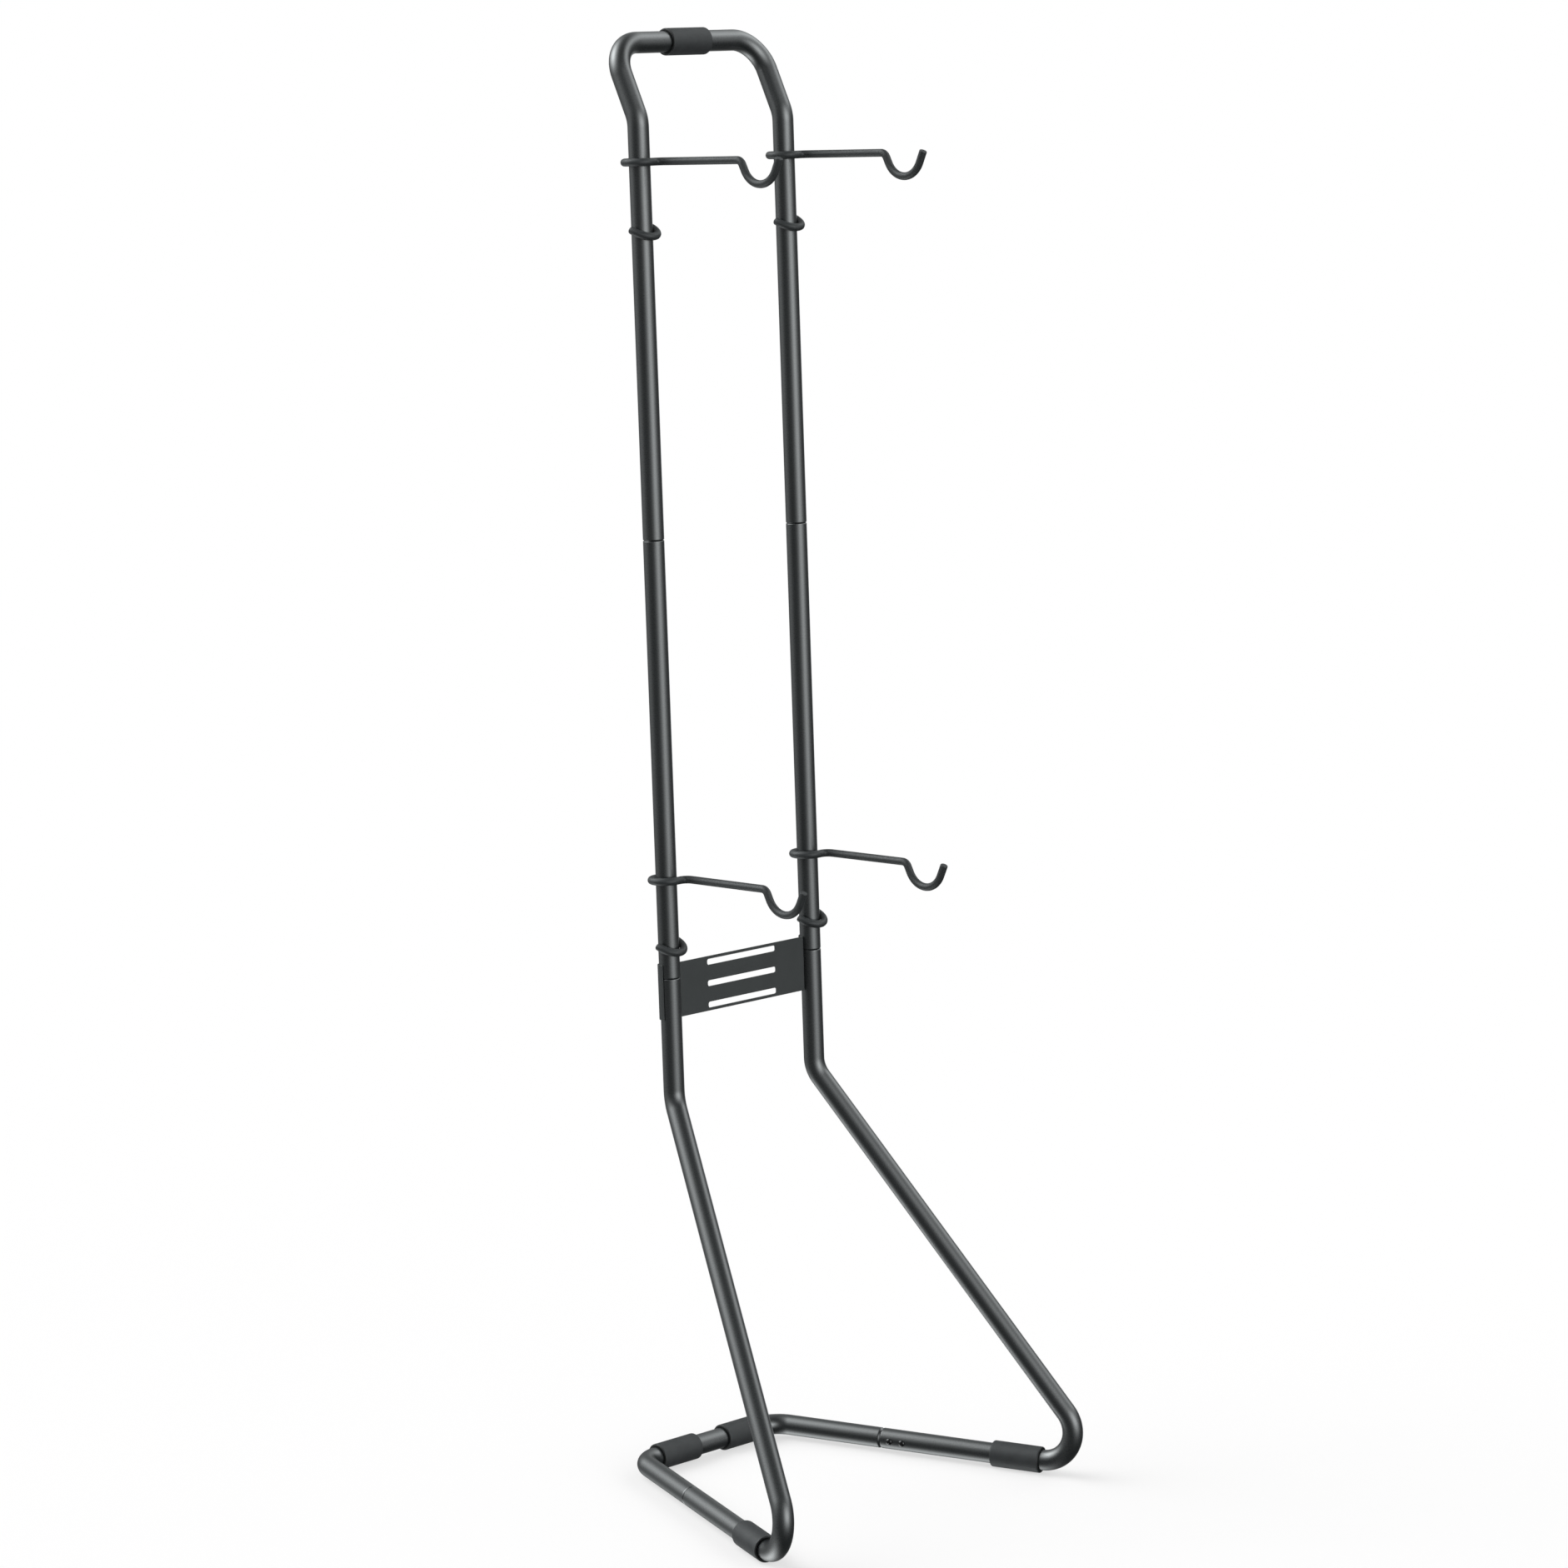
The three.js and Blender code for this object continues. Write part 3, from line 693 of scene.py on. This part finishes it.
def hook_points():
    """One hook about its pole: X right, Y back from the pole's axis, Z along it."""
    half_span = CRADLE_RADIUS / math.cos(CRADLE_LEAN)
    reach = ARM_REACH + half_span
    tip_reach = reach + half_span + TIP_RISE * math.tan(CRADLE_LEAN)
    corners = [
        Vector((ARM_OFFSET, -tip_reach, TIP_RISE)),
        Vector((ARM_OFFSET, -reach, -half_span / math.tan(CRADLE_LEAN))),
        Vector((ARM_OFFSET, -ARM_REACH, 0)),
        Vector((ARM_OFFSET, -GRIP_RADIUS, 0)),
        Vector((0, -GRIP_RADIUS, 0)),
    ]
    radii = [0, CRADLE_RADIUS, ROD_BEND_RADIUS, ROD_BEND_RADIUS, 0]
    return rounded_path(corners, radii, ROD_STEP) + grip_points()


def rod_end():
    """Cropped end of the rod, its edge softened by the coating."""
    return [
        (ROD_EDGE * (1 - math.cos(turn)), ROD_RADIUS - ROD_EDGE * (1 - math.sin(turn)), 0)
        for turn in quarter_turns(ROD_END_STEPS)
    ]


turn_to_pole = Matrix((ACROSS, POLE_BACK, POLE_UP)).transposed()
for level, rise in HOOK_RISE.items():
    for name, side in SIDES.items():
        points = [on_pole(side, rise) + turn_to_pole @ p for p in hook_points()]
        rows = with_ends(points, rod_end(), rod_end(), ROD_RADIUS, 0)
        title = f"{level}_rod_hook_{name}"
        rod = grown(title, station_mesh(title, rows), SOLID, {"Sides": ROD_SIDES, "Material": ROD_COAT})
        fit(rod, f"{level}_hook_{name}", "rod_coating", f"{level}_hook_{name}")


# Brace plate
def plate_outline():
    """Section of the plate across the poles: the flat web and a saddle round each pole."""
    web_back = PLATE_THICKNESS - WEB_SETOUT

    def arc(radius, start_y, side):
        # the arc behind the pole's axis, from the web's side to the lip's side
        first = math.pi - math.asin(start_y / radius)
        last = math.asin(-LIP_SETOUT / radius)
        turns = [first + (last - first) * k / SADDLE_STEPS for k in range(SADDLE_STEPS + 1)]
        return [
            Vector((side * (POLE_HALF + radius * math.cos(turn)), radius * math.sin(turn)))
            for turn in turns
        ]

    right = arc(SADDLE_BORE, -WEB_SETOUT, 1) + arc(SADDLE_RADIUS, web_back, 1)[::-1]
    left = arc(SADDLE_RADIUS, web_back, -1) + arc(SADDLE_BORE, -WEB_SETOUT, -1)[::-1]
    return right + left


def plate_start():
    """The plate before its slots are punched: its section carried up the poles."""
    outline = plate_outline()
    low = on_pole(0, PLATE_TOP - PLATE_HEIGHT)
    low.x = 0
    count = len(outline)
    points = []
    for rise in (0, PLATE_HEIGHT):
        points += [
            (low + ACROSS * spot.x + POLE_BACK * spot.y + POLE_UP * rise) * MM for spot in outline
        ]
    faces = [tuple(range(count - 1, -1, -1)), tuple(range(count, 2 * count))]
    faces += [(k, (k + 1) % count, count + (k + 1) % count, count + k) for k in range(count)]
    mesh = bpy.data.meshes.new("plate_blank")
    mesh.from_pydata([tuple(point) for point in points], [], faces)
    return mesh


def slot_tree():
    """Punches a row of slots through a blank: a rounded slot, repeated up the plate."""
    tree, given, end = geometry_tree("punched_slots", [
        ("Slot Count", "NodeSocketInt", SLOT_COUNT),
        ("Slot Pitch", "NodeSocketFloat", SLOT_PITCH * MM),
        ("Slot Length", "NodeSocketFloat", SLOT_LENGTH * MM),
        ("Slot Height", "NodeSocketFloat", SLOT_HEIGHT * MM),
        ("Slot Corner", "NodeSocketFloat", SLOT_CORNER * MM),
        ("Punch Depth", "NodeSocketFloat", PUNCH_DEPTH * MM),
        ("First Slot", "NodeSocketVector", None),
        ("Plate Turn", "NodeSocketRotation", None),
        ("Material", "NodeSocketMaterial", None),
    ])
    outline = add(tree, "GeometryNodeCurvePrimitiveQuadrilateral", {
        "Width": given["Slot Length"], "Height": given["Slot Height"],
    }, mode="RECTANGLE")
    soft = add(tree, "GeometryNodeFilletCurve", {
        "Curve": outline.outputs[0], "Count": SLOT_CORNER_STEPS, "Radius": given["Slot Corner"],
    }, mode="POLY")
    filled = add(tree, "GeometryNodeFillCurve", {"Curve": soft.outputs[0]}, mode="NGONS")
    punch = add(tree, "GeometryNodeExtrudeMesh", {
        "Mesh": filled.outputs[0], "Offset Scale": given["Punch Depth"], "Individual": False,
    }, mode="FACES")
    back = add(tree, "GeometryNodeFlipFaces", {"Mesh": filled.outputs[0]})
    closed = add(tree, "GeometryNodeJoinGeometry")
    tree.links.new(back.outputs[0], closed.inputs[0])
    tree.links.new(punch.outputs[0], closed.inputs[0])
    welded = add(tree, "GeometryNodeMergeByDistance", {
        "Geometry": closed.outputs[0], "Distance": WELD_DISTANCE * MM,
    })
    step = add(tree, "ShaderNodeCombineXYZ", {"Y": given["Slot Pitch"]})
    row = add(tree, "GeometryNodeMeshLine", {
        "Count": given["Slot Count"], "Offset": step.outputs[0],
    }, mode="OFFSET")
    punches = add(tree, "GeometryNodeInstanceOnPoints", {
        "Points": row.outputs[0], "Instance": welded.outputs[0],
    })
    real = add(tree, "GeometryNodeRealizeInstances", {"Geometry": punches.outputs[0]})
    placed = add(tree, "GeometryNodeTransform", {
        "Geometry": real.outputs[0], "Translation": given["First Slot"], "Rotation": given["Plate Turn"],
    })
    cut = add(tree, "GeometryNodeMeshBoolean", {
        "Mesh 1": given["Geometry"],
    }, operation="DIFFERENCE", solver="EXACT")
    tree.links.new(placed.outputs[0], cut.inputs["Mesh 2"])
    shade_and_finish(tree, cut.outputs[0], given, end, PLATE_CREASE)
    return tree


def brace_plate():
    """Folded sheet with its row of slots and a pressed edge all round."""
    # the punch starts half its depth behind the web and comes forward through it
    middle = on_pole(0, PLATE_TOP - PLATE_HEIGHT / 2)
    middle.x = 0
    first = middle - POLE_UP * SLOT_PITCH * (SLOT_COUNT - 1) / 2 + POLE_BACK * PUNCH_DEPTH / 2
    turn = Matrix((ACROSS, POLE_UP, -POLE_BACK)).transposed().to_euler()
    piece = grown("slotted_plate", plate_start(), slot_tree(), {
        "Slot Count": SLOT_COUNT, "Slot Pitch": SLOT_PITCH * MM, "Slot Length": SLOT_LENGTH * MM,
        "Slot Height": SLOT_HEIGHT * MM, "Slot Corner": SLOT_CORNER * MM,
        "Punch Depth": PUNCH_DEPTH * MM, "First Slot": tuple(first * MM), "Plate Turn": tuple(turn),
        "Material": PLATE_COAT,
    })
    edge = piece.modifiers.new("pressed_edge", "BEVEL")
    edge.width = PLATE_EDGE * MM
    edge.segments = PLATE_EDGE_STEPS
    edge.limit_method = "ANGLE"
    edge.angle_limit = math.radians(PLATE_EDGE_ANGLE)
    edge.harden_normals = True
    return piece


fit(brace_plate(), "frame", "plate_coat", "brace_plate")


# Screws
def screw_mesh(length):
    """Button head screw: thread end, shank, rolled rim, dome and hexagon socket."""
    apothem = SOCKET_WIDTH / 2

    def hexagon(turn):
        return apothem / math.cos((turn + math.pi / 6) % (math.pi / 3) - math.pi / 6)

    def circle(radius):
        return lambda turn: radius

    rows = [(circle(SCREW_RADIUS - POINT_CHAMFER), -length)]
    rows.append((circle(SCREW_RADIUS), -length + POINT_CHAMFER))
    rows.append((circle(SCREW_RADIUS), 0))
    rows += [(circle(HEAD_RADIUS - inset), height) for inset, height in RIM_ROLL]
    rim_height = RIM_ROLL[-1][1]
    for turn in quarter_turns(DOME_STEPS)[1:DOME_RINGS + 1]:
        radius = HEAD_RADIUS * math.cos(turn) ** DOME_POWER
        rows.append((circle(radius), rim_height + (HEAD_HEIGHT - rim_height) * math.sin(turn)))
    rows.append((lambda turn: hexagon(turn) + SOCKET_CHAMFER, HEAD_HEIGHT))
    rows.append((hexagon, HEAD_HEIGHT - SOCKET_CHAMFER))
    rows.append((hexagon, HEAD_HEIGHT - SOCKET_DEPTH))
    points = [(0, 0, -length)]
    for radius, height in rows:
        for k in range(SCREW_SIDES):
            turn = 2 * math.pi * k / SCREW_SIDES
            points.append((radius(turn) * math.cos(turn), radius(turn) * math.sin(turn), height))
    points.append((0, 0, HEAD_HEIGHT - SOCKET_DEPTH - SOCKET_CONE))
    last = len(points) - 1
    faces = []
    for k in range(SCREW_SIDES):
        after = (k + 1) % SCREW_SIDES
        faces.append((0, 1 + after, 1 + k))
        for row in range(len(rows) - 1):
            low, high = 1 + row * SCREW_SIDES, 1 + (row + 1) * SCREW_SIDES
            faces.append((low + k, low + after, high + after, high + k))
        top = 1 + (len(rows) - 1) * SCREW_SIDES
        faces.append((top + k, top + after, last))
    mesh = bpy.data.meshes.new("button_head_screw")
    mesh.from_pydata([tuple(c * MM for c in p) for p in points], [], faces)
    return mesh


def screw_tree():
    """Puts one screw at each point, turned to the directions that the point carries."""
    tree, given, end = geometry_tree("screws_in_place", [
        ("Screw", "NodeSocketObject", None),
        ("Material", "NodeSocketMaterial", None),
    ])
    source = add(tree, "GeometryNodeObjectInfo", {"Object": given["Screw"]})
    axes = [
        add(tree, "GeometryNodeInputNamedAttribute", {"Name": key}, data_type="FLOAT_VECTOR").outputs[0]
        for key in ("outward", "along")
    ]
    turn = add(tree, "FunctionNodeAxesToRotation", {
        "Primary Axis": axes[0], "Secondary Axis": axes[1],
    }, primary_axis="Z", secondary_axis="X")
    placed = add(tree, "GeometryNodeInstanceOnPoints", {
        "Points": given["Geometry"], "Instance": source.outputs["Geometry"], "Rotation": turn.outputs[0],
    })
    real = add(tree, "GeometryNodeRealizeInstances", {"Geometry": placed.outputs[0]})
    shade_and_finish(tree, real.outputs[0], given, end, SCREW_CREASE)
    return tree


SCREWS = screw_tree()


def screws(name, places, length, nodes):
    """All the screws of one joint on both sides, each turned a little unlike the next."""
    template = link(bpy.data.objects.new(name + "_template", screw_mesh(length)))
    mesh = bpy.data.meshes.new(name)
    mesh.from_pydata([tuple(at * MM) for at, _, _ in places], [], [])
    for key, index in (("outward", 1), ("along", 2)):
        field = mesh.attributes.new(key, "FLOAT_VECTOR", "POINT")
        field.data.foreach_set("vector", [c for spot in places for c in spot[index]])
    piece = grown(name, mesh, SCREWS, {"Screw": template, "Material": SCREW_ZINC})
    bpy.data.objects.remove(template)
    fit(piece, "frame", "black_screw", *nodes)


def turned(outward, along, number):
    """Direction of a socket's corner: along the tube, tightened to its own angle."""
    turn = math.radians(FIRST_SOCKET_TURN + SOCKET_TURN_STEP * number)
    return Matrix.Rotation(turn, 3, outward) @ along


def joint_places(seat, spots):
    """Where each screw's head sits on its tube, and the two directions that turn it."""
    return [
        (at + outward * (seat + FIT_GAP), outward, turned(outward, along, number))
        for number, (at, outward, along) in enumerate(spots)
    ]


spots = {"side": [], "pole": [], "plate": []}
nodes = {"side": [], "pole": [], "plate": []}
for name, side in SIDES.items():
    inward = bar_inward(side)
    for number, step in enumerate(SCREW_STEPS, 1):
        spots["side"].append((on_bar(side, SIDE_JOINT + step), inward, bar_forward(side)))
        nodes["side"].append(f"side_joint_screw_{name}_{number}")
        spots["pole"].append((on_pole(side, UPPER_JOINT + step), POLE_BACK, POLE_UP))
        nodes["pole"].append(f"pole_joint_screw_{name}_{number}")
    low = PLATE_TOP - PLATE_HEIGHT + PLATE_SCREW_INSET
    for number, rise in enumerate((PLATE_TOP - PLATE_SCREW_INSET, low), 1):
        spots["plate"].append((on_pole(side, rise), POLE_BACK, POLE_UP))
        nodes["plate"].append(f"plate_screw_{name}_{number}")

for kind in ("side", "pole"):
    screws(f"{kind}_joint_screws", joint_places(TUBE_RADIUS, spots[kind]), SCREW_LENGTH, nodes[kind])
screws("plate_screws", joint_places(SADDLE_RADIUS, spots["plate"]), PLATE_SCREW_LENGTH, nodes["plate"])

for name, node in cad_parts.items():
    if "_nut_" in name:
        node.data.materials.clear()
        node.data.materials.append(NUT_ZINC)


# Camera
# where the stand was photographed from, in metres: across, ahead of the rear bar and above a
# floor that the bare tube would lie on
CAMERA_ACROSS = -4.91296
CAMERA_AHEAD = 5.05003
CAMERA_HEIGHT = 2.24441
CAMERA_YAW = math.radians(45.121)
CAMERA_DIP = math.radians(10.032)
SENSOR_WIDTH = 36.0
PHOTO_PIXELS = 1882.0
FOCAL_PIXELS = 5973.0
# metres, so that the far edge of the floor stays in view
VIEW_REACH = 300.0
CAMERA_PLACE = Vector((
    CAMERA_ACROSS,
    REAR_Y * MM - CAMERA_AHEAD,
    CAMERA_HEIGHT + (AXIS_HEIGHT - TUBE_RADIUS) * MM,
))
lens = bpy.data.cameras.new("camera")
lens.sensor_width = SENSOR_WIDTH
lens.lens = SENSOR_WIDTH * FOCAL_PIXELS / PHOTO_PIXELS
lens.clip_end = VIEW_REACH
camera = link(bpy.data.objects.new("camera", lens))
camera.location = CAMERA_PLACE
camera.rotation_euler = (math.pi / 2 - CAMERA_DIP, 0, -CAMERA_YAW)
bpy.context.scene.camera = camera


# Studio, in metres
FLOOR_HALF = 60.0
FLOOR_DROP = 0.0002
# a little warm, so that the floor comes out neutral under the slightly cool lights
FLOOR_TONE = "ece7e6"
SHADOW_REACH = 1.2
# least share of plain white on the floor, which keeps the shadow nearly as faint as in the
# photograph
SHADOW_LIFT = 0.6
WHITE_FROM = 5.0
# how much of the white background gloss sees, and the light of the dark flags themselves
GLOSS_SHARE = 0.02
FLAG_LEVEL = 0.02
LIGHT_TONE = "f9feff"

# soft light walls: bearing from the stand's back and elevation in degrees, half sizes as
# sines of their angles, and radiance, where 1 is as bright as the white background
SOFT_WALLS = {
    "front": (181.0, 12.0, 0.47, 0.36, 4.5),
    "left_rear_high": (-35.0, 40.0, 0.42, 0.42, 7.2),
    "right_high": (105.0, 39.0, 0.49, 0.27, 2.7),
    "rear": (62.0, -4.0, 0.25, 0.35, 0.4),
    "floor_bounce": (-25.0, -56.0, 0.42, 0.36, 3.2),
}


def background_share(tree):
    """How much of a ray sees the white background: the camera's rays and those through glass
    all of it, gloss a little, because dark flags just outside the picture hold the tubes'
    edges dark, as in the photograph."""
    path = add(tree, "ShaderNodeLightPath").outputs
    clear = add(tree, "ShaderNodeMath", {
        0: path["Is Camera Ray"], 1: path["Is Transmission Ray"],
    }, operation="MAXIMUM")
    gloss = add(tree, "ShaderNodeMath", {
        0: path["Is Glossy Ray"], 1: GLOSS_SHARE,
    }, operation="MULTIPLY")
    return add(tree, "ShaderNodeMath", {
        0: clear.outputs[0], 1: gloss.outputs[0],
    }, operation="MAXIMUM").outputs[0]


def studio_floor():
    """Pale matt floor that keeps the shadow near the stand and fades to white further out."""
    mesh = bpy.data.meshes.new("studio_floor")
    signs = ((-1, -1), (1, -1), (1, 1), (-1, 1))
    corners = [(x * FLOOR_HALF, y * FLOOR_HALF, -FLOOR_DROP) for x, y in signs]
    mesh.from_pydata(corners, [], [(0, 1, 2, 3)])
    floor = link(bpy.data.objects.new("studio_floor", mesh))
    # the soft walls light the stand from below too, so the floor stands in no light's way
    floor.visible_shadow = floor.visible_diffuse = floor.visible_glossy = False
    made = bpy.data.materials.new("pale_studio_floor")
    made.use_nodes = True
    tree = made.node_tree
    tree.nodes.clear()
    where = add(tree, "ShaderNodeTexCoord").outputs["Object"]
    away = add(tree, "ShaderNodeVectorMath", {0: where}, operation="LENGTH").outputs["Value"]
    fade = add(tree, "ShaderNodeMapRange", {
        "Value": away, "From Min": SHADOW_REACH, "From Max": WHITE_FROM, "To Min": SHADOW_LIFT,
    }, interpolation_type="SMOOTHSTEP").outputs[0]
    share = add(tree, "ShaderNodeMath", {
        0: fade, 1: background_share(tree),
    }, operation="MULTIPLY").outputs[0]
    matt = add(tree, "ShaderNodeBsdfDiffuse", {"Color": linear(FLOOR_TONE)}).outputs[0]
    white = add(tree, "ShaderNodeEmission", {"Color": linear("ffffff"), "Strength": 1.0}).outputs[0]
    mix = add(tree, "ShaderNodeMixShader", {0: share, 1: matt, 2: white})
    add(tree, "ShaderNodeOutputMaterial", {"Surface": mix.outputs[0]})
    mesh.materials.append(made)


def soft_wall(tree, look, bearing, elevation, half_width, half_height, radiance):
    """Light of one wall in the direction of a ray, fading softly from its middle."""
    turn, rise = math.radians(bearing), math.radians(elevation)
    middle = Vector((math.sin(turn) * math.cos(rise), math.cos(turn) * math.cos(rise), math.sin(rise)))
    across = middle.cross(Vector((0, 0, 1))).normalized()
    upward = across.cross(middle)

    def along(axis):
        product = add(tree, "ShaderNodeVectorMath", {0: look, 1: axis}, operation="DOT_PRODUCT")
        return product.outputs["Value"]

    def squared(value):
        return add(tree, "ShaderNodeMath", {0: value, 1: value}, operation="MULTIPLY").outputs[0]

    aside = squared(along(across / half_width))
    over = squared(along(upward / half_height))
    away = add(tree, "ShaderNodeMath", {0: aside, 1: over}).outputs[0]
    inward = add(tree, "ShaderNodeMath", {0: away, 1: -1.0}, operation="MULTIPLY").outputs[0]
    fall = add(tree, "ShaderNodeMath", {0: inward}, operation="EXPONENT").outputs[0]
    ahead = add(tree, "ShaderNodeMath", {0: along(middle), 1: 0.0}, operation="GREATER_THAN").outputs[0]
    lit = add(tree, "ShaderNodeMath", {0: fall, 1: radiance}, operation="MULTIPLY").outputs[0]
    return add(tree, "ShaderNodeMath", {0: lit, 1: ahead}, operation="MULTIPLY").outputs[0]


def studio_world():
    """White where the camera sees it, and round the stand soft walls between dark flags."""
    world = bpy.data.worlds.new("studio")
    world.use_nodes = True
    bpy.context.scene.world = world
    tree = world.node_tree
    tree.nodes.clear()
    look = add(tree, "ShaderNodeTexCoord").outputs["Generated"]
    level = FLAG_LEVEL
    for wall in SOFT_WALLS.values():
        level = add(tree, "ShaderNodeMath", {0: soft_wall(tree, look, *wall), 1: level}).outputs[0]
    light = add(tree, "ShaderNodeBackground", {"Color": linear(LIGHT_TONE), "Strength": level}).outputs[0]
    white = add(tree, "ShaderNodeBackground", {"Color": linear("ffffff"), "Strength": 1.0}).outputs[0]
    mix = add(tree, "ShaderNodeMixShader", {0: background_share(tree), 1: light, 2: white})
    add(tree, "ShaderNodeOutputWorld", {"Surface": mix.outputs[0]})


studio_floor()
studio_world()

bpy.context.scene.view_settings.view_transform = "Standard"
